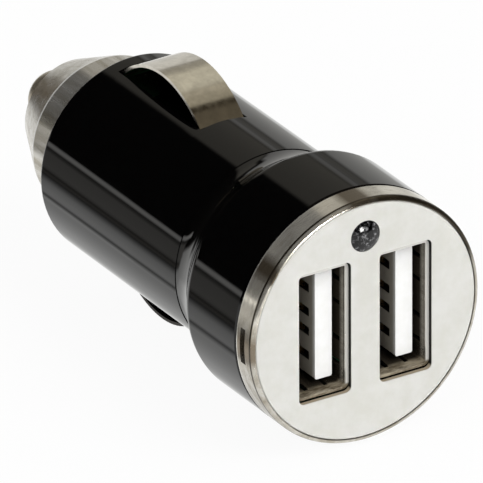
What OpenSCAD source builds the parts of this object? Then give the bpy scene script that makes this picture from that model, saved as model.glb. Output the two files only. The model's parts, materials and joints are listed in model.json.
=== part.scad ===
// Charger plug with two sockets in its face, for a vehicle's 12 V accessory outlet.
// The axis runs along Y: the face looks toward -Y and the sprung tip points toward +Y.
// The origin is on the axis, where the barrel begins. Lengths are in mm.

/* [Head] */
// outer diameter of the head
head_d = 24.9; // [24.8:0.1:26]
// length from the face to the rear shoulder
head_l = 11.1; // [11.1:0.1:12]
// length of the flared neck behind the head
neck_l = 5.85; // [5.7:0.05:6.5]
// width of the bright trim ring
ring_w = 2.85; // [2.75:0.05:3.2]

/* [Barrel] */
// barrel diameter
barrel_d = 20.6; // [20.4:0.1:20.8]
// barrel length
barrel_l = 24.2; // [24.2:0.1:26]
// wall thickness of the barrel
wall = 1.3; // [1.2:0.05:1.35]

/* [Nose] */
// outer diameter of the metal collar
collar_d = 15.76; // [15.5:0.1:16.5]
// length of the collar
collar_l = 5.1; // [5:0.1:6]
// length of the cone in front of the collar
cone_l = 5.72; // [5.5:0.1:6.5]
// diameter of the cone's flat end
cone_d = 10.44; // [10.2:0.1:11]
// diameter of the sprung tip
tip_d = 5.84; // [5.6:0.1:6]
// how far the tip stands out of the cone
tip_out = 5.3; // [4.5:0.1:6]

/* [Side contacts] */
// width of the bowed strip
strip_w = 4.8; // [4.6:0.1:5.2]
// thickness of the bowed strip
strip_t = 0.3; // [0.3:0.05:0.4]
// height of the bow above the barrel
bow_rise = 2.9; // [2.6:0.1:3]
// length of the bow at the barrel's surface
bow_span = 13.65; // [13.3:0.05:13.8]

/* [Sockets] */
// distance between the two socket centres
socket_pitch = 8.82; // [8.6:0.02:9]
// height of the socket's inside
socket_h = 12.5; // [12.4:0.1:12.6]
// width of the socket's inside
socket_w = 5.12; // [5.06:0.02:5.14]
// how far the tongue stands back from the face
tongue_back = 1.8; // [1.7:0.1:2.8]

/* [Indicator] */
// diameter of the lamp
lamp_d = 3; // [2.8:0.1:3.1]
// height of the lamp above the axis
lamp_z = 8.75; // [8.6:0.05:8.75]

/* [Hidden] */
$fn = 96;
head_r = head_d / 2;
barrel_r = barrel_d / 2;
face_y = -(head_l + neck_l);

// the head's shoulder and the hollow of the neck meet in one smooth bend
neck_r = barrel_r - 0.06;
bend_angle = 2 * atan((head_r - neck_r) / neck_l);
shoulder_r = 1.1;
hollow_r = neck_l / sin(bend_angle) - shoulder_r;
bend_r = head_r - shoulder_r * (1 - cos(bend_angle));
bend_y = shoulder_r * sin(bend_angle) - neck_l;

// stations behind the face
plate_back = 0.05;
plate_t = 0.5;
plate_r = head_r - 0.45;
seat_y = face_y + plate_back + plate_t;
board_t = 1;
front_board_y = face_y + 10.15;
ledge_y = front_board_y + board_t;
head_bore_r = head_r - 1.95;
ledge_r = head_bore_r - 0.5;
bore_r = barrel_r - wall;
bore_y = ledge_y + 1.85;
spigot_r = head_r - 1.2;

// plain stretch of the barrel in front of the contact slots, and the slight mould draft behind it
land_l = 7.5;
draft = 0.05;
end_r = barrel_r - draft;

// snap catches that hold the trim ring
catch_h = 3.3;
catch_w = 0.6;
catch_y = face_y + 1.4;

// nose stations
bulkhead_y = barrel_l - 1.15;
bulkhead_end = barrel_l + 0.75;
socket_hole_r = 3.6;
collar_r = collar_d / 2;
cone_r = cone_d / 2;
sheet_t = 0.55;
collar_y = barrel_l + collar_l;
cone_y = collar_y + cone_l;
cone_slope = (collar_r - cone_r) / cone_l;
nose_spigot_r = collar_r - sheet_t - 0.03;
nose_spigot_y = collar_y - 0.65;
cone_wall = sheet_t * sqrt(1 + pow(cone_slope, 2));
lip_t = 0.66;
tip_r = tip_d / 2;
flange_t = 0.95;
flange_y = cone_y - lip_t - 0.05 - flange_t;
stem_r = 2;
stem_y = flange_y - 3.4;

// bowed strip
bow_y = 15.15;
strip_edge_z = sqrt(pow(barrel_r, 2) - pow(strip_w / 2, 2));
bow_r = pow(bow_span, 2) / (8 * bow_rise) + bow_rise / 2;
bow_z = strip_edge_z + bow_rise - bow_r;
bow_angle = asin(bow_span / 2 / bow_r);
corner_r = 0.9;
corner_y = (bow_r - corner_r) * sin(bow_angle);
corner_z = bow_z + (bow_r - corner_r) * cos(bow_angle);
leg_y = corner_y + corner_r;
leg_z = 6.6;
foot_z = sqrt(pow(bore_r, 2) - pow(strip_w / 2, 2)) - 0.35;
foot_r = 0.3;
foot_l = 1.9;
slot_gap = 0.25;

// sockets
shell_t = 0.3;
shell_y = seat_y;
shell_l = front_board_y - shell_y;
socket_z = -0.2;
finger_y = 1.1;
finger_l = 5.5;
tongue_h = 11.1;
tongue_t = 1.84;
tongue_y = face_y + plate_back + tongue_back;
block_y = front_board_y - 1.4;
pin_z = [-3.5, -1, 1, 3.5];
pin_w = 0.7;
pin_t = 0.2;
groove_y = tongue_y + 1.05;
groove_w = 0.9;
groove_t = 0.7;

// main board and what it carries
board_w = 16.6;
board_end = barrel_l - 3.25;

// spring behind the tip
spring_r = 2.75;
spring_wire = 0.5;
terminal_t = 0.4;
spring_turns = 8;

// a flat outline in the X-Z plane, given depth toward +Y from station y
module upright(y, depth) {
    translate([0, y + depth, 0])
        rotate([90, 0, 0])
            linear_extrude(depth)
                children();
}

// an outline of radius against station, spun about the Y axis
module spun() {
    rotate([-90, 0, 0])
        rotate_extrude()
            children();
}

// a flat outline in the Y-Z plane, given width along X about the middle
module across(width) {
    rotate([90, 0, 90])
        linear_extrude(width, center = true)
            children();
}

// a rectangle with round corners, about its centre
module rounded(w, h, r) {
    square([w - 2 * r, h], center = true);
    square([w, h - 2 * r], center = true);
    for (x = [-1, 1], y = [-1, 1])
        translate([x * (w / 2 - r), y * (h / 2 - r)])
            circle(r);
}

// moves a shape to one of the two sockets: -1 is the left one, 1 the right one
module at_socket(side) {
    translate([side * socket_pitch / 2, 0, socket_z])
        children();
}

// outline of the moulding's outside
module housing_outside() {
    rim = 0.25;
    edge = 0.4;
    translate([0, seat_y])
        square([spigot_r, ring_w]);
    polygon([
        [0, face_y + ring_w], [head_r - rim, face_y + ring_w],
        [head_r, face_y + ring_w + rim], [head_r, -neck_l], [0, -neck_l]
    ]);
    translate([head_r - shoulder_r, -neck_l])
        circle(shoulder_r);
    polygon([[0, -neck_l], [head_r - shoulder_r, -neck_l], [bend_r, bend_y], [0, bend_y]]);
    difference() {
        translate([0, bend_y])
            square([bend_r, -bend_y]);
        translate([neck_r + hollow_r, 0])
            circle(hollow_r);
    }
    square([barrel_r, land_l]);
    polygon([[0, land_l], [barrel_r, land_l], [end_r, barrel_l - edge], [0, barrel_l - edge]]);
    square([end_r - edge, barrel_l]);
    translate([end_r - edge, barrel_l - edge])
        circle(edge);
    square([nose_spigot_r, nose_spigot_y]);
}

// outline of the moulding's inside
module housing_inside() {
    translate([0, seat_y - 1])
        square([head_bore_r, ledge_y - seat_y + 1]);
    polygon([[0, ledge_y], [ledge_r, ledge_y], [bore_r, bore_y], [0, bore_y]]);
    translate([0, bore_y])
        square([bore_r, bulkhead_y - bore_y]);
    translate([0, bulkhead_y])
        square([socket_hole_r, barrel_l]);
    translate([0, bulkhead_end])
        square([nose_spigot_r - 1.1, barrel_l]);
}

// one-piece moulding: head, neck, barrel and the spigot for the nose cap
module housing() {
    slot_l = 2 * (leg_y + slot_gap);
    slot_w = strip_w + 0.3;
    rail_t = 0.8;
    rail_w = 1.2;
    color([0.03, 0.03, 0.035]) {
        difference() {
            spun()
                difference() {
                    housing_outside();
                    housing_inside();
                }
            translate([-slot_w / 2, bow_y - slot_l / 2, -head_r])
                cube([slot_w, slot_l, head_r - foot_z + 2]);
            translate([-slot_w / 2, bow_y - slot_l / 2, foot_z - 2])
                cube([slot_w, slot_l, head_r - foot_z + 2]);
        }
        for (x = [-1, 1], z = [-1, 1])
            translate([x * (bore_r - rail_w / 2 + 0.1), bore_y, z * (board_t + rail_t) / 2])
                translate([-rail_w / 2, 0, -rail_t / 2])
                    cube([rail_w, bulkhead_y - bore_y, rail_t]);
        for (x = [-1, 1])
            translate([x * spigot_r - 0.5, catch_y, -catch_h / 2])
                cube([1, catch_w, catch_h]);
    }
}

// bright ring round the face, held by two catches
module trim_ring() {
    inner = plate_r + 0.05;
    edge_r = head_r - inner;
    window_h = catch_h + 0.3;
    window_w = catch_w + 0.2;
    color([0.75, 0.74, 0.7])
        difference() {
            spun() {
                translate([inner, face_y + edge_r])
                    intersection() {
                        circle(edge_r);
                        translate([0, -edge_r])
                            square(edge_r);
                    }
                polygon([
                    [inner, face_y + edge_r], [head_r, face_y + edge_r],
                    [head_r, face_y + ring_w - 0.15], [head_r - 0.1, face_y + ring_w],
                    [spigot_r + 0.05, face_y + ring_w], [spigot_r + 0.05, seat_y],
                    [inner, seat_y]
                ]);
            }
            for (x = [-1, 1])
                translate([x * head_r - 2, catch_y - 0.1, -window_h / 2])
                    cube([4, window_w, window_h]);
        }
}

// thin satin disc with openings for the sockets and the lamp
module face_plate() {
    bevel = 0.1;
    color([0.82, 0.82, 0.8])
        difference() {
            translate([0, face_y + plate_back, 0])
                spun()
                    polygon([
                        [0, 0], [plate_r - bevel, 0], [plate_r, bevel], [plate_r, plate_t],
                        [0, plate_t]
                    ]);
            upright(face_y - 1, plate_t + 2) {
                for (side = [-1, 1])
                    translate([side * socket_pitch / 2, socket_z])
                        rounded(socket_w + 0.61, socket_h + 1, 0.6);
                translate([0, lamp_z])
                    circle(lamp_d / 2 + 0.08);
            }
        }
}

// indicator lamp: body with a shallow dome in front and a flange at its rear
module lamp() {
    r = lamp_d / 2;
    rise = 0.35;
    dome_r = (r * r + rise * rise) / (2 * rise);
    front_y = face_y + plate_back;
    back_y = face_y + 5;
    color([0.25, 0.26, 0.28])
        translate([0, 0, lamp_z])
            spun() {
                intersection() {
                    translate([0, front_y - rise + dome_r])
                        circle(dome_r);
                    translate([0, front_y - rise])
                        square([r, rise]);
                }
                translate([0, front_y])
                    square([r, back_y - front_y]);
                translate([0, back_y - 0.8])
                    square([r + 0.15, 0.8]);
            }
}

// one square lead of the lamp, to the front board
module lamp_lead(side) {
    lead_w = 0.5;
    back_y = face_y + 5;
    color([0.75, 0.75, 0.74])
        translate([side * 0.7 - lead_w / 2, back_y, lamp_z - lead_w / 2])
            cube([lead_w, ledge_y + 0.5 - back_y, lead_w]);
}

// sprung finger pressed inward out of a shell wall; depth is how far it reaches in
module finger(width, depth) {
    across(width)
        polygon([
            [0, 0], [finger_l - 1.4, -depth], [finger_l, -depth / 2],
            [finger_l, shell_t - depth / 2], [finger_l - 1.4, shell_t - depth], [0, shell_t]
        ]);
}

// a window and its finger, on the wall that faces local +Z
module finger_window(width) {
    translate([-width / 2 - 0.45, 0, -1])
        cube([width + 0.9, finger_l + 0.6, 2]);
}

// places a finger or its window on each wall: two on each wide wall, one on each narrow wall
module on_walls(wide) {
    half_h = socket_h / 2;
    half_w = socket_w / 2;
    if (wide)
        for (side = [-1, 1], z = [-3.1, 3.1])
            translate([side * half_w, shell_y + finger_y, z])
                rotate([0, side * 90, 0])
                    children();
    else
        for (side = [-1, 1])
            translate([0, shell_y + finger_y, side * half_h])
                rotate([0, 90 - side * 90, 0])
                    children();
}

// pressed steel shell of a socket, with six sprung fingers
module shell(side) {
    wide_w = 2;
    narrow_w = 1.7;
    color([0.7, 0.7, 0.68])
        at_socket(side) {
            difference() {
                upright(shell_y, shell_l)
                    difference() {
                        rounded(socket_w + 2 * shell_t, socket_h + 2 * shell_t, 0.6);
                        rounded(socket_w, socket_h, 0.3);
                    }
                on_walls(true)
                    finger_window(wide_w);
                on_walls(false)
                    finger_window(narrow_w);
            }
            on_walls(true)
                finger(wide_w, 0.35);
            on_walls(false)
                finger(narrow_w, 0.4);
        }
}

// moulded tongue with its rear block and a groove for each pin
module tongue(side) {
    edge_r = 0.2;
    color([0.92, 0.92, 0.9])
        at_socket(side)
            difference() {
                union() {
                    translate([tongue_t / 2, 0, 0])
                        upright(tongue_y, block_y - tongue_y)
                            rounded(tongue_t, tongue_h, edge_r);
                    upright(block_y, front_board_y - block_y)
                        square([socket_w - 0.1, socket_h - 0.1], center = true);
                }
                for (z = pin_z) {
                    translate([-0.5, groove_y, z - groove_w / 2])
                        cube([groove_t + 0.5, block_y - groove_y, groove_w]);
                    translate([0.12, block_y - 1, z - pin_w / 2])
                        cube([pin_t, front_board_y - block_y + 2, pin_w]);
                }
            }
}

// one contact pin: a bowed strip in its groove, running back through the front board
module pin(side, number) {
    front = groove_y + 1.3;
    back = ledge_y;
    path = [
        [front, 0.2], [front + 1.3, -0.3], [front + 2.1, -0.3], [block_y - 0.4, 0.12],
        [back, 0.12]
    ];
    color([0.8, 0.68, 0.4])
        at_socket(side)
            translate([0, 0, pin_z[number - 1] - pin_w / 2])
                linear_extrude(pin_w)
                    polygon([
                        for (p = path) [p[1], p[0]],
                        for (i = [len(path) - 1:-1:0]) [path[i][1] + pin_t, path[i][0]]
                    ]);
}

// round board behind the sockets
module front_board() {
    color([0.1, 0.32, 0.16])
        upright(front_board_y, board_t)
            difference() {
                circle(head_bore_r - 0.15);
                for (side = [-1, 1], z = pin_z)
                    translate([side * socket_pitch / 2 + 0.12, socket_z + z - pin_w / 2])
                        square([pin_t, pin_w]);
                for (side = [-1, 1])
                    translate([side * 0.7, lamp_z])
                        square(0.5, center = true);
            }
}

// long board on the axis, held by rails in the barrel
module main_board() {
    color([0.1, 0.32, 0.16])
        translate([-board_w / 2, ledge_y, -board_t / 2])
            cube([board_w, board_end - ledge_y, board_t]);
}

// control chip with four legs on each side
module regulator() {
    body_w = 4;
    body_l = 5;
    body_t = 1.5;
    leg_w = 0.42;
    color([0.07, 0.07, 0.07])
        translate([0, 9.5, board_t / 2]) {
            translate([-body_w / 2, -body_l / 2, 0.1])
                cube([body_w, body_l, body_t]);
            for (side = [0, 1], i = [-1.5:1:1.5])
                mirror([side, 0, 0])
                    translate([body_w / 2, i * 1.27 - leg_w / 2, 0]) {
                        cube([1, leg_w, 0.2]);
                        cube([0.25, leg_w, 0.9]);
                    }
        }
}

// drum core standing on the board
module inductor_core() {
    color([0.16, 0.16, 0.17])
        translate([3.6, 1.6, board_t / 2])
            rotate_extrude() {
                square([1.6, 4.4]);
                square([3, 0.8]);
                translate([0, 3.6])
                    square([3, 0.8]);
            }
}

// winding between the flanges of the drum core
module inductor_coil() {
    wire = 0.5;
    color([0.72, 0.36, 0.18])
        translate([3.6, 1.6, board_t / 2 + 0.8])
            rotate_extrude() {
                translate([1.6, 0])
                    square([0.9, 2.8]);
                for (i = [0:4])
                    translate([2.5, 0.4 + wire * i])
                        circle(wire / 2);
            }
}

// capacitor can with its base; face is 1 above the board and -1 below it
module capacitor(x, y, r, h, face) {
    base = 2 * r + 0.2;
    translate([x, y, face * board_t / 2])
        mirror([0, 0, face < 0 ? 1 : 0]) {
            translate([-base / 2, -base / 2, 0])
                cube([base, base, 0.5]);
            difference() {
                cylinder(r = r, h = h);
                translate([0, 0, 1.2])
                    rotate_extrude()
                        translate([r + 0.1, 0])
                            circle(0.3);
            }
        }
}

// capacitor under the board
module input_capacitor() {
    color([0.72, 0.73, 0.75])
        capacitor(3.3, 1.2, 2.9, 4.8, -1);
}

// capacitor on top of the board
module output_capacitor() {
    color([0.72, 0.73, 0.75])
        capacitor(-3.7, 1.2, 2.5, 4.6, 1);
}

// diode under the board
module diode() {
    color([0.07, 0.07, 0.07])
        translate([0, 10, -board_t / 2]) {
            translate([-1.3, -2.15, -2.2])
                cube([2.6, 4.3, 2.1]);
            translate([-0.7, -2.6, -1.2])
                cube([1.4, 5.2, 1.2]);
        }
}

// disc soldered to the end of the board, under the spring
module spring_terminal() {
    tab_l = 2;
    color([0.8, 0.68, 0.4])
        union() {
            upright(board_end, terminal_t)
                circle(4.4);
            upright(board_end + terminal_t, 0.8)
                circle(spring_r - spring_wire / 2 - 0.25);
            for (z = [board_t / 2, -board_t / 2 - terminal_t])
                translate([-1.5, board_end - tab_l, z])
                    cube([3, tab_l + terminal_t, terminal_t]);
        }
}

// point on the spring's centre line after a number of turns
function coil_point(turn, length, r) =
    let (rise = length * max(0, min(1, (turn - 0.7) / (spring_turns - 1.4))))
    [r * cos(360 * turn), rise, r * sin(360 * turn)];

// round wire swept along the coil, with closed end turns
module tip_spring() {
    steps = 22;
    sides = 8;
    start = board_end + terminal_t + spring_wire / 2;
    length = flange_y - spring_wire / 2 - start;
    count = steps * spring_turns;
    ring = [
        for (i = [0:count])
            let (
                centre = coil_point(i / steps, length, spring_r),
                out = [cos(360 * i / steps), 0, sin(360 * i / steps)]
            )
            for (k = [0:sides - 1])
                let (a = 360 * k / sides + 180 / sides)
                centre + spring_wire / 2 * (cos(a) * out + [0, sin(a), 0])
    ];
    color([0.7, 0.7, 0.7])
        translate([0, start, 0])
            polyhedron(
                points = ring,
                faces = [
                    [for (k = [0:sides - 1]) k],
                    [for (k = [0:sides - 1]) (count + 1) * sides - 1 - k],
                    for (i = [0:count - 1], k = [0:sides - 1])
                        let (n = (k + 1) % sides)
                        [i * sides + k, (i + 1) * sides + k, (i + 1) * sides + n, i * sides + n]
                ]
            );
}

// sprung contact in the nose: stem, flange and domed tip
module centre_tip() {
    dome_y = cone_y + tip_out - tip_r;
    color([0.62, 0.6, 0.54])
        spun() {
            translate([0, stem_y])
                square([stem_r, flange_y - stem_y]);
            translate([0, flange_y])
                square([4.2, flange_t]);
            translate([0, flange_y])
                square([tip_r, dome_y - flange_y]);
            intersection() {
                translate([0, dome_y])
                    circle(tip_r);
                translate([0, dome_y])
                    square([tip_r, tip_r]);
            }
        }
}

// drawn steel cap: straight collar, then a cone with the hole for the tip
module nose_cap() {
    inner = collar_r - sheet_t;
    hole = tip_r + 0.08;
    shoulder = collar_y + (collar_r - cone_wall - inner) / cone_slope;
    front = collar_r - cone_wall - cone_slope * (cone_y - lip_t - collar_y);
    color([0.72, 0.72, 0.7])
        spun()
            polygon([
                [inner, barrel_l], [collar_r, barrel_l], [collar_r, collar_y],
                [cone_r, cone_y], [hole, cone_y], [hole, cone_y - lip_t],
                [front, cone_y - lip_t], [inner, shoulder]
            ]);
}

// filled outline of the bow and its two corners, drawn in by an amount and cut off at a height
module arch(inward, bottom) {
    far = 2 * bow_r;
    side_y = leg_y - inward;
    intersection() {
        translate([0, bow_z])
            circle(bow_r - inward);
        polygon([
            [-corner_y, corner_z], [corner_y, corner_z],
            [far * sin(bow_angle), bow_z + far * cos(bow_angle)], [0, bow_z + far],
            [-far * sin(bow_angle), bow_z + far * cos(bow_angle)]
        ]);
    }
    for (side = [-1, 1])
        translate([side * corner_y, corner_z])
            circle(corner_r - inward);
    translate([-side_y, bottom])
        square([2 * side_y, corner_z - bottom]);
}

// bowed steel strip above the barrel, with a foot in front and a leg behind
module side_contact() {
    bend_z = foot_z + foot_r;
    foot_y = -leg_y - foot_r;
    color([0.74, 0.73, 0.7])
        translate([0, bow_y, 0])
            across(strip_w) {
                difference() {
                    arch(0, bend_z);
                    arch(strip_t, bend_z - 2);
                }
                translate([leg_y - strip_t, leg_z])
                    square([strip_t, bend_z - leg_z]);
                translate([foot_y, bend_z])
                    intersection() {
                        difference() {
                            circle(foot_r + strip_t);
                            circle(foot_r);
                        }
                        translate([0, -1])
                            square(1);
                    }
                translate([foot_y - foot_l, foot_z - strip_t])
                    square([foot_l, strip_t]);
            }
}

// the strip at the top of the barrel
module side_contact_upper() {
    side_contact();
}

// the same strip turned over for the underside
module side_contact_lower() {
    mirror([0, 0, 1])
        side_contact();
}

module lamp_lead_left() { lamp_lead(-1); }
module lamp_lead_right() { lamp_lead(1); }
module shell_left() { shell(-1); }
module shell_right() { shell(1); }
module tongue_left() { tongue(-1); }
module tongue_right() { tongue(1); }
module pin_left_1() { pin(-1, 1); }
module pin_left_2() { pin(-1, 2); }
module pin_left_3() { pin(-1, 3); }
module pin_left_4() { pin(-1, 4); }
module pin_right_1() { pin(1, 1); }
module pin_right_2() { pin(1, 2); }
module pin_right_3() { pin(1, 3); }
module pin_right_4() { pin(1, 4); }

housing();
trim_ring();
face_plate();
lamp();
lamp_lead_left();
lamp_lead_right();
shell_left();
shell_right();
tongue_left();
tongue_right();
pin_left_1();
pin_left_2();
pin_left_3();
pin_left_4();
pin_right_1();
pin_right_2();
pin_right_3();
pin_right_4();
front_board();
main_board();
regulator();
inductor_core();
inductor_coil();
input_capacitor();
output_capacitor();
diode();
spring_terminal();
tip_spring();
centre_tip();
nose_cap();
side_contact_upper();
side_contact_lower();
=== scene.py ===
import json
import math
from collections import namedtuple

import bpy
from mathutils import Matrix, Vector


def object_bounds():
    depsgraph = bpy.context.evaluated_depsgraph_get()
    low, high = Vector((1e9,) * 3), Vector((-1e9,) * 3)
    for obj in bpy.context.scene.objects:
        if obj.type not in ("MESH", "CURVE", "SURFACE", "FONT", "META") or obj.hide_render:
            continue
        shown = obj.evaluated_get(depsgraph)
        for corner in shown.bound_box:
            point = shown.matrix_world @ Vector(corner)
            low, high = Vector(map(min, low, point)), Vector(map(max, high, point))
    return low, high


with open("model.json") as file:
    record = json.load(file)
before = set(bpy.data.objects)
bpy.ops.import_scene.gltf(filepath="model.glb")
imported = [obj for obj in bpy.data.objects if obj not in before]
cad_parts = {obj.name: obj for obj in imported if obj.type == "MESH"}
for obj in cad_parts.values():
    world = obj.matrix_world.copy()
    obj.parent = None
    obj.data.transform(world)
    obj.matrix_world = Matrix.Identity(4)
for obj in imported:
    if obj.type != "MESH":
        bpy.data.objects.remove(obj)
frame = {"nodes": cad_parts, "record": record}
cad_lo, cad_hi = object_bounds()
nodes = frame["nodes"]
MM = 0.001
MICRON = 0.000001


def box_mm(name):
    """Lowest and highest corner of a piece, in millimetres of the shared frame."""
    corners = [Vector(corner) / MM for corner in nodes[name].bound_box]
    lowest = Vector([min(corner[axis] for corner in corners) for axis in range(3)])
    highest = Vector([max(corner[axis] for corner in corners) for axis in range(3)])
    return lowest, highest


def middle_mm(name):
    lowest, highest = box_mm(name)
    return (lowest + highest) / 2


# places on the object, in millimetres, read from its pieces
FACE_Y = box_mm("trim_ring")[0].y
RING_END_Y = box_mm("trim_ring")[1].y
PLATE_Y = box_mm("face_plate")[0].y
TONGUE_Y = box_mm("tongue_right")[0].y
SOCKET_X = middle_mm("shell_right").x
SOCKET_Z = middle_mm("shell_right").z
LAMP_Z = middle_mm("lamp").z

# sizes that the boxes don't show, in millimetres
SOCKET_HALF_HIGH = 6.25
GROOVE_START = 1.05
TONGUE_SIDE = 1.7
COLLAR_END_Y = 29.3

# camera: the reference point on the axis is seen at this pixel of the picture
IMAGE_SIDE = 483
REFERENCE_Y = -16.55
REFERENCE_PIXEL = (363.52, 319.11)
AZIMUTH = math.radians(-31.857)
ELEVATION = math.radians(26.801)
ROLL = math.radians(-0.23)
DISTANCE_MM = 1955.0
PIXELS_PER_MM = 10.8
SENSOR_MM = 36.0
CLIP_M = (0.05, 50)

# studio, in metres, degrees and watts
ROOM_R = 6.0
ROOM_STEP = 1.5
FLOOR_HALF = 12.0
FLOOR_GREY = (0.86, 0.86, 0.86)
FLOOR_OWN_WHITE = 0.94
SKY_LIGHT = 0.55
SKY_SEEN = 1.0
KEY_LIGHT = {"place": (0.45, -1.4, 1.4), "side": 1.2, "watts": 26}
FILL_LIGHT = {"place": (-1.4, -0.9, 0.9), "side": 1.4, "watts": 8}

# colours that several materials share
UNLIT_GAP = (0.012, 0.011, 0.01)
EDGE_SHADOW = (0.06, 0.048, 0.032)
# dark brown, used both for real stain streaks and for painted dark reflections
DARK_STAIN_AND_REFLECTION = (0.17, 0.14, 0.10)


# shader helpers
class Shader:
    """A material with one Principled node and short calls for the textures that feed it."""

    def __init__(self, name, colour, metallic, roughness):
        self.material = bpy.data.materials.new(name)
        self.material.use_nodes = True
        self.tree = self.material.node_tree
        self.main = self.tree.nodes["Principled BSDF"]
        self.set("Base Color", (*colour, 1))
        self.set("Metallic", metallic)
        self.set("Roughness", roughness)
        coords = self.add("ShaderNodeTexCoord")
        self.place = coords.outputs["Object"]
        self.normal = coords.outputs["Normal"]
        self.relief = None

    def add(self, kind, **values):
        node = self.tree.nodes.new(kind)
        for key, value in values.items():
            setattr(node, key, value)
        return node

    def link(self, out, into):
        self.tree.links.new(out, into)

    def set(self, socket, value):
        self.main.inputs[socket].default_value = value

    def feed(self, socket, value):
        self.link(value, self.main.inputs[socket])

    def noise(self, per_mm, detail=3.0, rough=0.5, stretch=(1, 1, 1), distort=0.0):
        """Noise with this many features a millimetre; stretch makes it finer along an axis."""
        mapping = self.add("ShaderNodeMapping")
        mapping.inputs["Scale"].default_value = [per_mm / MM * s for s in stretch]
        self.link(self.place, mapping.inputs["Vector"])
        texture = self.add("ShaderNodeTexNoise")
        texture.inputs["Scale"].default_value = 1.0
        texture.inputs["Detail"].default_value = detail
        texture.inputs["Roughness"].default_value = rough
        texture.inputs["Distortion"].default_value = distort
        self.link(mapping.outputs["Vector"], texture.inputs["Vector"])
        return texture.outputs["Fac"]

    def ranged(self, value, lo, hi, to_lo, to_hi):
        """The value carried from one range to another, and held at the ends."""
        node = self.add("ShaderNodeMapRange")
        node.inputs["From Min"].default_value = lo
        node.inputs["From Max"].default_value = hi
        node.inputs["To Min"].default_value = to_lo
        node.inputs["To Max"].default_value = to_hi
        self.link(value, node.inputs["Value"])
        return node.outputs["Result"]

    def between(self, mask, at_zero, at_one):
        """One number where the mask is 0 and another where it is 1."""
        return self.ranged(mask, 0.0, 1.0, at_zero, at_one)

    def flipped(self, mask):
        return self.between(mask, 1.0, 0.0)

    def times(self, first, second):
        node = self.add("ShaderNodeMath", operation="MULTIPLY")
        self.link(first, node.inputs[0])
        self.link(second, node.inputs[1])
        return node.outputs["Value"]

    def split(self, vector, axis):
        node = self.add("ShaderNodeSeparateXYZ")
        self.link(vector, node.inputs["Vector"])
        return node.outputs[axis]

    def along(self, axis, lo_mm, hi_mm):
        """0 below the first station and 1 beyond the second one, along an axis of the object."""
        return self.ranged(self.split(self.place, axis), lo_mm * MM, hi_mm * MM, 0.0, 1.0)

    def before(self, axis, lo_mm, hi_mm):
        """1 below the first station and 0 beyond the second one."""
        return self.flipped(self.along(axis, lo_mm, hi_mm))

    def band(self, axis, lo_mm, hi_mm, soft_mm):
        """1 between two stations and 0 outside them."""
        return self.times(self.along(axis, lo_mm - soft_mm, lo_mm + soft_mm),
                          self.before(axis, hi_mm - soft_mm, hi_mm + soft_mm))

    def facing(self, axis, lo, hi):
        """0 below the first value and 1 beyond the second one, by the way that the surface faces."""
        return self.ranged(self.split(self.normal, axis), lo, hi, 0.0, 1.0)

    def roughness(self, value, low, high):
        self.feed("Roughness", self.ranged(value, 0.3, 0.7, low, high))

    def tint(self, value, colour_a, colour_b, lo=0.35, hi=0.65):
        """The base colour runs from one colour to the other as the value rises."""
        ramp = self.add("ShaderNodeValToRGB")
        first, second = ramp.color_ramp.elements
        first.position, first.color = lo, (*colour_a, 1)
        second.position, second.color = hi, (*colour_b, 1)
        self.link(value, ramp.inputs["Fac"])
        self.feed("Base Color", ramp.outputs["Color"])

    def paint(self, mask, colour):
        """Lays one more colour over the tint where the mask is 1."""
        mix = self.add("ShaderNodeMix", data_type="RGBA")
        below = self.main.inputs["Base Color"].links[0].from_socket
        self.link(below, mix.inputs["A"])
        mix.inputs["B"].default_value = (*colour, 1)
        self.link(mask, mix.inputs["Factor"])
        self.feed("Base Color", mix.outputs["Result"])

    def bump(self, value, microns):
        """Adds a relief of this height; several calls are laid one over another."""
        node = self.add("ShaderNodeBump")
        node.inputs["Distance"].default_value = microns * MICRON
        self.link(value, node.inputs["Height"])
        if self.relief:
            self.link(self.relief, node.inputs["Normal"])
        self.relief = node.outputs["Normal"]
        self.feed("Normal", self.relief)


# materials
def black_gloss():
    """Polished moulding, nearly black, with a slow waviness and faint dust."""
    s = Shader("black_gloss", (0.0006, 0.0006, 0.0007), 0.0, 0.05)
    s.tint(s.noise(2.2, 4, 0.6), (0.0004, 0.0004, 0.0005), (0.0016, 0.0015, 0.0014), 0.5, 0.8)
    s.roughness(s.noise(0.35, 5, 0.65), 0.02, 0.07)
    s.bump(s.noise(0.3, 2, 0.4, (1, 0.35, 1)), 2.0)
    s.bump(s.noise(5.0, 2, 0.5, (1, 0.15, 1)), 0.08)
    return s.material


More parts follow.
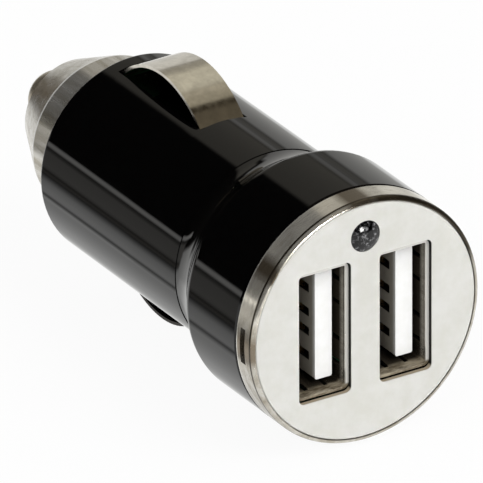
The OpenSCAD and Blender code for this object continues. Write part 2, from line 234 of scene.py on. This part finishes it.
def chrome_trim():
    """Plated ring with brownish stains and streaks, a painted sheen on its upper half, painted dark
    reflections on its left and top, a painted highlight line at its rear and painted shadow at its
    round edge.
    """
    s = Shader("chrome_trim", (0.55, 0.52, 0.45), 0.82, 0.16)
    stains = s.noise(0.42, 4, 0.65, (1, 1.6, 1), 0.6)
    s.tint(stains, (0.42, 0.38, 0.305), (0.68, 0.655, 0.595), 0.36, 0.62)
    # painted sheen: the upper half of the ring is painted lighter, in patches, where its reflections
    # are brighter
    painted_upper_sheen = s.ranged(s.noise(0.3, 3, 0.5), 0.35, 0.6, 0.35, 0.95)
    s.paint(s.times(s.along("Z", 1.9, 3.0), painted_upper_sheen), (0.87, 0.83, 0.735))

    # painted dark reflections: darker patches on the left of the ring and two on its top, where it
    # reflects dark parts of the room
    left = s.before("X", -11.2, -10.2)
    top = s.along("Z", 6.0, 6.6)
    s.paint(s.times(left, s.band("Z", -1.4, 1.2, 0.5)), (0.27, 0.225, 0.17))
    s.paint(s.times(top, s.band("X", -1.8, 0.9, 0.5)), (0.20, 0.17, 0.13))
    s.paint(s.times(top, s.band("X", -10.6, -9.3, 0.4)), DARK_STAIN_AND_REFLECTION)

    # painted highlight: a bright line along the rear edge, on the left part of the ring
    painted_rear_highlight = s.band("Y", RING_END_Y - 0.27, RING_END_Y - 0.07, 0.05)
    s.paint(s.times(painted_rear_highlight, s.before("X", -5.0, -2.0)), (0.95, 0.92, 0.84))
    # random dark stain streaks, kept off the painted highlight
    streaks = s.ranged(s.noise(1.1, 5, 0.75, (0.5, 3.0, 0.5), 0.8), 0.54, 0.74, 0.0, 0.5)
    s.paint(s.times(s.flipped(painted_rear_highlight), streaks), DARK_STAIN_AND_REFLECTION)

    edge_y = FACE_Y + 0.3
    s.paint(s.band("Y", edge_y, edge_y + 0.25, 0.05), EDGE_SHADOW)
    upper_edge = s.times(s.before("Y", edge_y, edge_y + 0.1), s.along("Z", 1.5, 4.5))
    s.paint(s.times(upper_edge, s.along("X", -2.5, 1.5)), EDGE_SHADOW)

    s.roughness(s.noise(1.4, 5, 0.7, (0.4, 2.5, 0.4)), 0.1, 0.24)
    s.bump(s.noise(0.7, 3, 0.5), 3.0)
    s.bump(s.noise(9, 3, 0.6, (0.2, 1.6, 0.2)), 0.5)
    return s.material


def satin_plate():
    """Fine satin face; the cut edges round the sockets and the lamp are painted nearly black as shade,
    and the socket cuts that face up are painted lighter where light falls.
    """
    s = Shader("satin_plate", (0.69, 0.685, 0.645), 0.4, 0.42)
    s.tint(s.noise(0.5, 4, 0.6), (0.665, 0.66, 0.615), (0.715, 0.71, 0.68))
    s.roughness(s.noise(9, 4, 0.7), 0.36, 0.5)
    s.bump(s.noise(16, 3, 0.65), 2.0)
    s.bump(s.noise(3, 3, 0.5), 1.0)

    soft = 0.05
    behind = s.along("Y", PLATE_Y + 0.05, PLATE_Y + 0.1)
    socket_height = s.band("Z", SOCKET_Z - 7.0, SOCKET_Z + 7.2, soft)
    around_sockets = s.times(s.band("X", -SOCKET_X - 3.19, SOCKET_X + 3.19, soft), socket_height)
    lamp_height = s.band("Z", LAMP_Z - 1.7, LAMP_Z + 2.05, soft)
    around_lamp = s.times(s.band("X", -2.0, 2.0, soft), lamp_height)
    cut = s.times(behind, around_sockets)
    # painted shade: the cut edges of the openings for the lamp and the sockets are painted nearly
    # black
    s.paint(s.times(behind, around_lamp), UNLIT_GAP)
    s.paint(cut, UNLIT_GAP)
    # painted light: the socket cut edges that face up are painted a lighter khaki
    s.paint(s.times(cut, s.facing("Z", 0.3, 0.6)), (0.36, 0.30, 0.215))
    s.feed("Metallic", s.between(cut, 0.4, 0.0))
    s.feed("Specular IOR Level", s.between(cut, 0.5, 0.05))
    return s.material


def lamp_lens():
    """Dark clear dome with painted light specks that stand in for sparkling reflections, and a
    slightly uneven surface.
    """
    s = Shader("lamp_lens", (0.03, 0.03, 0.033), 0.0, 0.03)
    s.set("IOR", 1.49)
    s.set("Transmission Weight", 0.3)
    # painted reflections: light specks in the dark colour stand in for sparkle
    s.tint(s.noise(2.0, 5, 0.8), (0.001, 0.001, 0.0012), (0.42, 0.42, 0.43), 0.53, 0.66)
    s.roughness(s.noise(3, 3, 0.6), 0.02, 0.09)
    s.bump(s.noise(0.8, 2, 0.5), 45.0)
    s.bump(s.noise(9, 2, 0.5), 2.0)
    return s.material


def plated_steel(name, colour, smooth, dull, axis=(1, 1, 1), grain=8.0, microns=0.8):
    """Rolled or drawn plated steel: fine lines along one axis, faint stains, uneven polish."""
    s = Shader(name, colour, 1.0, 0.25)
    dark = [c * 0.84 for c in colour]
    light = [min(1.0, c * 1.06) for c in colour]
    s.tint(s.noise(0.7, 5, 0.65), dark, light, 0.32, 0.62)
    s.roughness(s.noise(grain * 0.4, 5, 0.7, axis), smooth, dull)
    s.bump(s.noise(grain, 3, 0.6, axis), microns)
    s.bump(s.noise(0.9, 2, 0.5), microns * 2)
    return s


def shell_steel():
    """Pressed shell: a painted highlight on its front edge, a grey lead-in with a painted shade line
    behind it, a darker bottom with khaki streaks, and painted shade that darkens the walls inward.
    """
    s = plated_steel("shell_steel", (0.60, 0.55, 0.46), 0.14, 0.28, (1, 0.3, 1), 1.5, 0.4)
    s.tint(s.noise(2.4, 4, 0.65, (1, 0.2, 1)), (0.46, 0.42, 0.35), (0.66, 0.62, 0.54), 0.38, 0.64)
    # painted shade: the walls turn dark deeper inside the socket
    s.paint(s.along("Y", PLATE_Y + 1.3, PLATE_Y + 1.7), (0.075, 0.061, 0.044))
    # painted shade: a thin dark line behind the front edge
    s.paint(s.band("Y", PLATE_Y + 0.8, PLATE_Y + 0.93, 0.03), (0.045, 0.038, 0.03))
    # painted highlight: the front edge is painted near white and made less metallic
    front = s.before("Y", PLATE_Y + 0.66, PLATE_Y + 0.72)
    s.paint(front, (0.86, 0.84, 0.79))

    # the bottom near the front is painted darker, with khaki streaks, and made less metallic
    bottom_z = SOCKET_Z - SOCKET_HALF_HIGH
    low = s.before("Z", bottom_z + 0.1, bottom_z + 0.3)
    bottom = s.times(low, s.before("Y", PLATE_Y + 1.5, PLATE_Y + 2.0))
    streaks = s.ranged(s.noise(1.6, 4, 0.7, (0.35, 1, 1)), 0.38, 0.62, 0.0, 1.0)
    s.paint(bottom, (0.105, 0.082, 0.052))
    s.paint(s.times(bottom, streaks), (0.36, 0.31, 0.225))
    s.feed("Metallic", s.times(s.between(front, 0.72, 0.3), s.between(bottom, 1.0, 0.3)))
    return s.material


def white_insulator():
    """White tongues: painted shade behind their front, and painted black shade in the grooves of the
    pins.
    """
    s = Shader("white_insulator", (0.92, 0.92, 0.91), 0.0, 0.38)
    s.tint(s.noise(0.8, 4, 0.6), (0.90, 0.90, 0.88), (0.94, 0.94, 0.935))
    s.roughness(s.noise(5, 4, 0.6), 0.32, 0.46)
    s.bump(s.noise(9, 3, 0.6), 2.0)
    # painted shade: the sides behind the front face are painted darker
    s.paint(s.along("Y", TONGUE_Y + 0.05, TONGUE_Y + 0.55), (0.40, 0.375, 0.32))
    # painted shade: the grooves of the pins are painted black
    groove_y = TONGUE_Y + GROOVE_START
    deep = s.along("Y", groove_y, groove_y + 0.06)
    for middle in (-SOCKET_X, SOCKET_X):
        inside = s.times(s.along("X", middle + 0.02, middle + 0.06),
                         s.before("X", middle + TONGUE_SIDE, middle + TONGUE_SIDE + 0.05))
        s.paint(s.times(deep, inside), UNLIT_GAP)
    return s.material


def plain_moulding(name, colour, rough):
    """Matt moulded or sintered pieces inside."""
    s = Shader(name, colour, 0.0, rough)
    s.tint(s.noise(1.2, 4, 0.6), [c * 0.85 for c in colour], [c * 1.2 for c in colour])
    s.roughness(s.noise(4.2, 4, 0.6), rough - 0.08, rough + 0.1)
    s.bump(s.noise(7.0, 3, 0.6), 6.0)
    return s.material


def green_board():
    """Solder mask over a faint glass weave."""
    s = Shader("green_board", (0.03, 0.17, 0.07), 0.0, 0.3)
    s.tint(s.noise(0.9, 4, 0.6), (0.02, 0.13, 0.05), (0.04, 0.21, 0.09))
    s.roughness(s.noise(4, 4, 0.6), 0.22, 0.4)
    weave = s.add("ShaderNodeTexWave", wave_type="BANDS", bands_direction="DIAGONAL")
    weave.inputs["Scale"].default_value = 0.9 / MM
    weave.inputs["Distortion"].default_value = 0.6
    s.link(s.place, weave.inputs["Vector"])
    s.bump(weave.outputs["Fac"], 3.0)
    return s.material


def tip_metal():
    """Worn, slightly brown plating."""
    s = plated_steel("tip_metal", (0.50, 0.445, 0.345), 0.2, 0.4, microns=2.0)
    s.set("Metallic", 0.82)
    return s.material


def nose_steel():
    """Drawn cap: streaked collar, brighter cone, and a painted highlight on the edge between them."""
    s = plated_steel("nose_steel", (0.66, 0.635, 0.575), 0.14, 0.3, (1, 0.08, 1), 2.4, 1.2)
    s.tint(s.noise(1.1, 5, 0.65, (1, 0.12, 1)), (0.46, 0.425, 0.35), (0.74, 0.72, 0.67), 0.34, 0.62)
    cone = s.along("Y", COLLAR_END_Y - 0.1, COLLAR_END_Y + 0.1)
    # painted highlight: a bright, less metallic band on the edge between collar and cone
    painted_edge_highlight = s.band("Y", COLLAR_END_Y - 0.14, COLLAR_END_Y + 0.08, 0.05)
    s.feed("Metallic", s.times(s.between(cone, 0.84, 0.92), s.between(painted_edge_highlight, 1.0, 0.6)))
    s.paint(painted_edge_highlight, (0.92, 0.91, 0.88))
    return s.material


def contact_steel(name, colour):
    """Bright rolled spring strip."""
    return plated_steel(name, colour, 0.09, 0.2, (1, 0.1, 1), 6.0, 0.6).material


def make_looks():
    """One material for each slot of the record."""
    lengthwise = (1, 0.2, 1)
    can = plated_steel("capacitor_can", (0.72, 0.73, 0.75), 0.25, 0.4, lengthwise)
    pins = plated_steel("gold_pins", (0.60, 0.46, 0.24), 0.2, 0.4, lengthwise)
    return {
        "black_gloss": black_gloss(),
        "chrome_trim": chrome_trim(),
        "satin_plate": satin_plate(),
        "lamp_lens": lamp_lens(),
        "tinned_steel": plated_steel("tinned_steel", (0.72, 0.72, 0.70), 0.3, 0.5).material,
        "shell_steel": shell_steel(),
        "white_insulator": white_insulator(),
        "gold_pins": pins.material,
        "green_board": green_board(),
        "black_chip": plain_moulding("black_chip", (0.03, 0.03, 0.03), 0.5),
        "ferrite": plain_moulding("ferrite", (0.09, 0.09, 0.1), 0.6),
        "copper_wire": plated_steel("copper_wire", (0.72, 0.34, 0.17), 0.25, 0.45).material,
        "capacitor_can": can.material,
        "spring_wire": plated_steel("spring_wire", (0.62, 0.62, 0.6), 0.25, 0.45).material,
        "tip_metal": tip_metal(),
        "nose_steel": nose_steel(),
        "contact_steel": contact_steel("contact_steel", (0.78, 0.745, 0.665)),
    }


def dress_pieces():
    """Puts the materials on the pieces; the lower contact, under the plug, has a darker copy of the
    contact steel, painted shade.
    """
    looks = make_looks()
    # painted shade: a nearly black copy of the contact steel for the contact that lies under the plug
    painted_shade_contact = contact_steel("contact_steel_painted_shade", (0.035, 0.032, 0.028))
    slot_of = {part["node"]: part["material_slot"] for part in frame["record"]["subparts"]}
    for name, node in nodes.items():
        look = painted_shade_contact if name == "side_contact_lower" else looks[slot_of[name]]
        if not node.material_slots:
            node.data.materials.append(look)
        for slot in node.material_slots:
            slot.material = look


# studio
def seen_directly(tree):
    """1 for the rays that show a background: camera, glossy and transmission rays."""
    path = tree.nodes.new("ShaderNodeLightPath")
    total = path.outputs["Is Camera Ray"]
    for name in ("Is Glossy Ray", "Is Transmission Ray"):
        most = tree.nodes.new("ShaderNodeMath")
        most.operation = "MAXIMUM"
        tree.links.new(total, most.inputs[0])
        tree.links.new(path.outputs[name], most.inputs[1])
        total = most.outputs["Value"]
    return total


def background(tree, strength):
    node = tree.nodes.new("ShaderNodeBackground")
    node.inputs["Color"].default_value = (1, 1, 1, 1)
    node.inputs["Strength"].default_value = strength
    return node.outputs["Background"]


def make_world():
    """White where it is seen, and a softer light on the object."""
    world = bpy.data.worlds.new("studio")
    bpy.context.scene.world = world
    world.use_nodes = True
    tree = world.node_tree
    tree.nodes.clear()
    mix = tree.nodes.new("ShaderNodeMixShader")
    out = tree.nodes.new("ShaderNodeOutputWorld")
    tree.links.new(seen_directly(tree), mix.inputs["Fac"])
    tree.links.new(background(tree, SKY_LIGHT), mix.inputs[1])
    tree.links.new(background(tree, SKY_SEEN), mix.inputs[2])
    tree.links.new(mix.outputs["Shader"], out.inputs["Surface"])


def floor_paper():
    """Pale paper that is mostly white by itself to the camera, with the object's shadow kept."""
    material = bpy.data.materials.new("floor_paper")
    material.use_nodes = True
    tree = material.node_tree
    paper = tree.nodes["Principled BSDF"]
    paper.inputs["Base Color"].default_value = (*FLOOR_GREY, 1)
    paper.inputs["Roughness"].default_value = 0.9
    glow = tree.nodes.new("ShaderNodeEmission")
    share = tree.nodes.new("ShaderNodeMath")
    share.operation = "MULTIPLY"
    share.inputs[1].default_value = FLOOR_OWN_WHITE
    mix = tree.nodes.new("ShaderNodeMixShader")
    tree.links.new(seen_directly(tree), share.inputs[0])
    tree.links.new(share.outputs["Value"], mix.inputs["Fac"])
    tree.links.new(paper.outputs["BSDF"], mix.inputs[1])
    tree.links.new(glow.outputs["Emission"], mix.inputs[2])
    tree.links.new(mix.outputs["Shader"], tree.nodes["Material Output"].inputs["Surface"])
    return material


def make_floor(z):
    mesh = bpy.data.meshes.new("floor")
    h = FLOOR_HALF
    mesh.from_pydata([(-h, -h, z), (h, -h, z), (h, h, z), (-h, h, z)], [], [(0, 1, 2, 3)])
    mesh.materials.append(floor_paper())
    floor = bpy.data.objects.new("floor", mesh)
    bpy.context.collection.objects.link(floor)
    floor.visible_glossy = False


# Cards round the object, which only reflections see. Azimuth runs from +Y toward +X, and the softness
# is that of the edges, all in degrees. A later card covers an earlier one.
Card = namedtuple("Card", "azimuth elevation soft tone")
ROOM_BASE = (0.012, 0.011, 0.010)
CARDS = [
    # white paper under and round the object
    Card((-180, 180), (-91, -23), 7, (0.80, 0.80, 0.79)),
    Card((-24, 12), (-91, -15), 6, (0.80, 0.80, 0.79)),
    Card((12, 180), (-91, -10), 5, (0.92, 0.92, 0.91)),
    Card((6, 30), (-91, -34), 8, (0.74, 0.74, 0.73)),
    Card((-180, -64), (-91, -3), 4, (0.85, 0.85, 0.84)),
    # low at the right, behind the object
    Card((2, 14), (-14, 3), 4, (0.10, 0.08, 0.055)),
    Card((13, 82), (-12, 14), 4, (0.58, 0.575, 0.55)),
    Card((24, 36.5), (-14, 23), 3, (0.64, 0.63, 0.605)),
    # brownish cards high at the right, which fade toward the front
    Card((6, 35), (24, 66), 4, (0.30, 0.283, 0.245)),
    Card((6, 20), (19, 26), 4, (0.30, 0.283, 0.245)),
    Card((35, 66), (24, 60), 5, (0.57, 0.54, 0.455)),
    Card((36, 66), (15, 20.5), 2, (0.27, 0.26, 0.235)),
    Card((65, 80), (38, 70), 5, (0.42, 0.385, 0.31)),
    Card((80, 103), (34, 72), 4, (0.34, 0.31, 0.245)),
    Card((103, 116), (28, 80), 4, (0.028, 0.022, 0.014)),
    Card((116, 180), (20, 91), 4, (0.10, 0.085, 0.062)),
    # small lamp in front
    Card((162, 174), (-2, 6), 3, (32.0, 32.0, 31.0)),
    # white cards low at the left, and a grey one with thin dark and bright lines
    Card((-29, -8), (-30, -9), 4, (0.92, 0.92, 0.90)),
    Card((-22, 10), (-35, -26), 3, (1.12, 1.12, 1.10)),
    Card((-62, -29), (-17, -1.6), 2.5, (0.34, 0.33, 0.31)),
    Card((-62, -26), (-4.6, -2.4), 1.5, (0.09, 0.087, 0.08)),
    Card((-62, -22), (-2.0, 0.6), 1.5, (1.05, 1.04, 1.0)),
    Card((-62, -29), (-20.6, -18.0), 1.5, (0.18, 0.17, 0.155)),
    Card((-62, -22), (-34.2, -32.4), 1.5, (0.22, 0.22, 0.215)),
]


def card_share(value, limits, soft):
    """1 within the limits and 0 outside, with edges that fade over the softness."""
    low, high = limits
    rise = min(max((value - low) / soft + 0.5, 0.0), 1.0)
    fall = min(max((high - value) / soft + 0.5, 0.0), 1.0)
    share = rise * fall
    return share * share * (3 - 2 * share)


def room_tone(azimuth, elevation):
    tone = ROOM_BASE
    for card in CARDS:
        across = card_share(azimuth, card.azimuth, card.soft)
        share = across * card_share(elevation, card.elevation, card.soft)
        tone = [t + share * (c - t) for t, c in zip(tone, card.tone)]
    return tone


def room_card():
    """Glows with the tone that the mesh stores at each point."""
    material = bpy.data.materials.new("room_card")
    material.use_nodes = True
    tree = material.node_tree
    tree.nodes.clear()
    tone = tree.nodes.new("ShaderNodeAttribute")
    tone.attribute_name = "tone"
    glow = tree.nodes.new("ShaderNodeEmission")
    out = tree.nodes.new("ShaderNodeOutputMaterial")
    tree.links.new(tone.outputs["Color"], glow.inputs["Color"])
    tree.links.new(glow.outputs["Emission"], out.inputs["Surface"])
    return material


def make_room():
    """Large ball of card with the tones of a light tent and a dark room behind it."""
    columns = round(360 / ROOM_STEP)
    rows = round(180 / ROOM_STEP)
    places, tones, faces = [], [], []
    for row in range(rows + 1):
        elevation = -90 + row * ROOM_STEP
        for column in range(columns + 1):
            azimuth = -180 + column * ROOM_STEP
            a, e = math.radians(azimuth), math.radians(elevation)
            toward = Vector((math.sin(a) * math.cos(e), math.cos(a) * math.cos(e), math.sin(e)))
            places.append(toward * ROOM_R)
            tones.append(room_tone(azimuth, elevation))
    for row in range(rows):
        for column in range(columns):
            first = row * (columns + 1) + column
            faces.append((first, first + 1, first + columns + 2, first + columns + 1))
    mesh = bpy.data.meshes.new("room")
    mesh.from_pydata(places, [], faces)
    layer = mesh.color_attributes.new("tone", "FLOAT_COLOR", "POINT")
    for item, tone in zip(layer.data, tones):
        item.color = (*tone, 1)
    mesh.materials.append(room_card())
    room = bpy.data.objects.new("room", mesh)
    bpy.context.collection.objects.link(room)
    room.visible_camera = False
    room.visible_diffuse = False
    room.visible_shadow = False


def area_light(name, place, side, watts):
    """Square light that faces the origin and isn't seen in reflections."""
    light = bpy.data.lights.new(name, "AREA")
    light.shape = "SQUARE"
    light.size = side
    light.energy = watts
    ob = bpy.data.objects.new(name, light)
    ob.location = place
    ob.rotation_mode = "QUATERNION"
    ob.rotation_quaternion = (-Vector(place)).to_track_quat("-Z", "Y")
    ob.visible_glossy = False
    bpy.context.collection.objects.link(ob)


def make_camera():
    """Plain camera fitted to the picture; it is moved beside its line of sight instead of shifted."""
    a, e = AZIMUTH, ELEVATION
    back = Vector((math.sin(a) * math.cos(e), -math.cos(a) * math.cos(e), math.sin(e)))
    level = Vector((math.cos(a), math.sin(a), 0))
    upright = back.cross(level)
    right = level * math.cos(ROLL) + upright * math.sin(ROLL)
    up = upright * math.cos(ROLL) - level * math.sin(ROLL)
    side_mm = (REFERENCE_PIXEL[0] - IMAGE_SIDE / 2) / PIXELS_PER_MM
    high_mm = (REFERENCE_PIXEL[1] - IMAGE_SIDE / 2) / PIXELS_PER_MM
    place = Vector((0, REFERENCE_Y, 0)) + back * DISTANCE_MM - right * side_mm + up * high_mm
    data = bpy.data.cameras.new("camera")
    data.sensor_width = SENSOR_MM
    data.lens = PIXELS_PER_MM * DISTANCE_MM / IMAGE_SIDE * SENSOR_MM
    data.clip_start, data.clip_end = CLIP_M
    camera = bpy.data.objects.new("camera", data)
    turn = Matrix((right, up, back)).transposed().to_4x4()
    camera.matrix_world = Matrix.Translation(place * MM) @ turn
    bpy.context.collection.objects.link(camera)
    bpy.context.scene.camera = camera


dress_pieces()
make_world()
make_floor(cad_lo.z)
make_room()
area_light("key", **KEY_LIGHT)
area_light("fill", **FILL_LIGHT)
make_camera()
bpy.context.scene.view_settings.view_transform = "Standard"
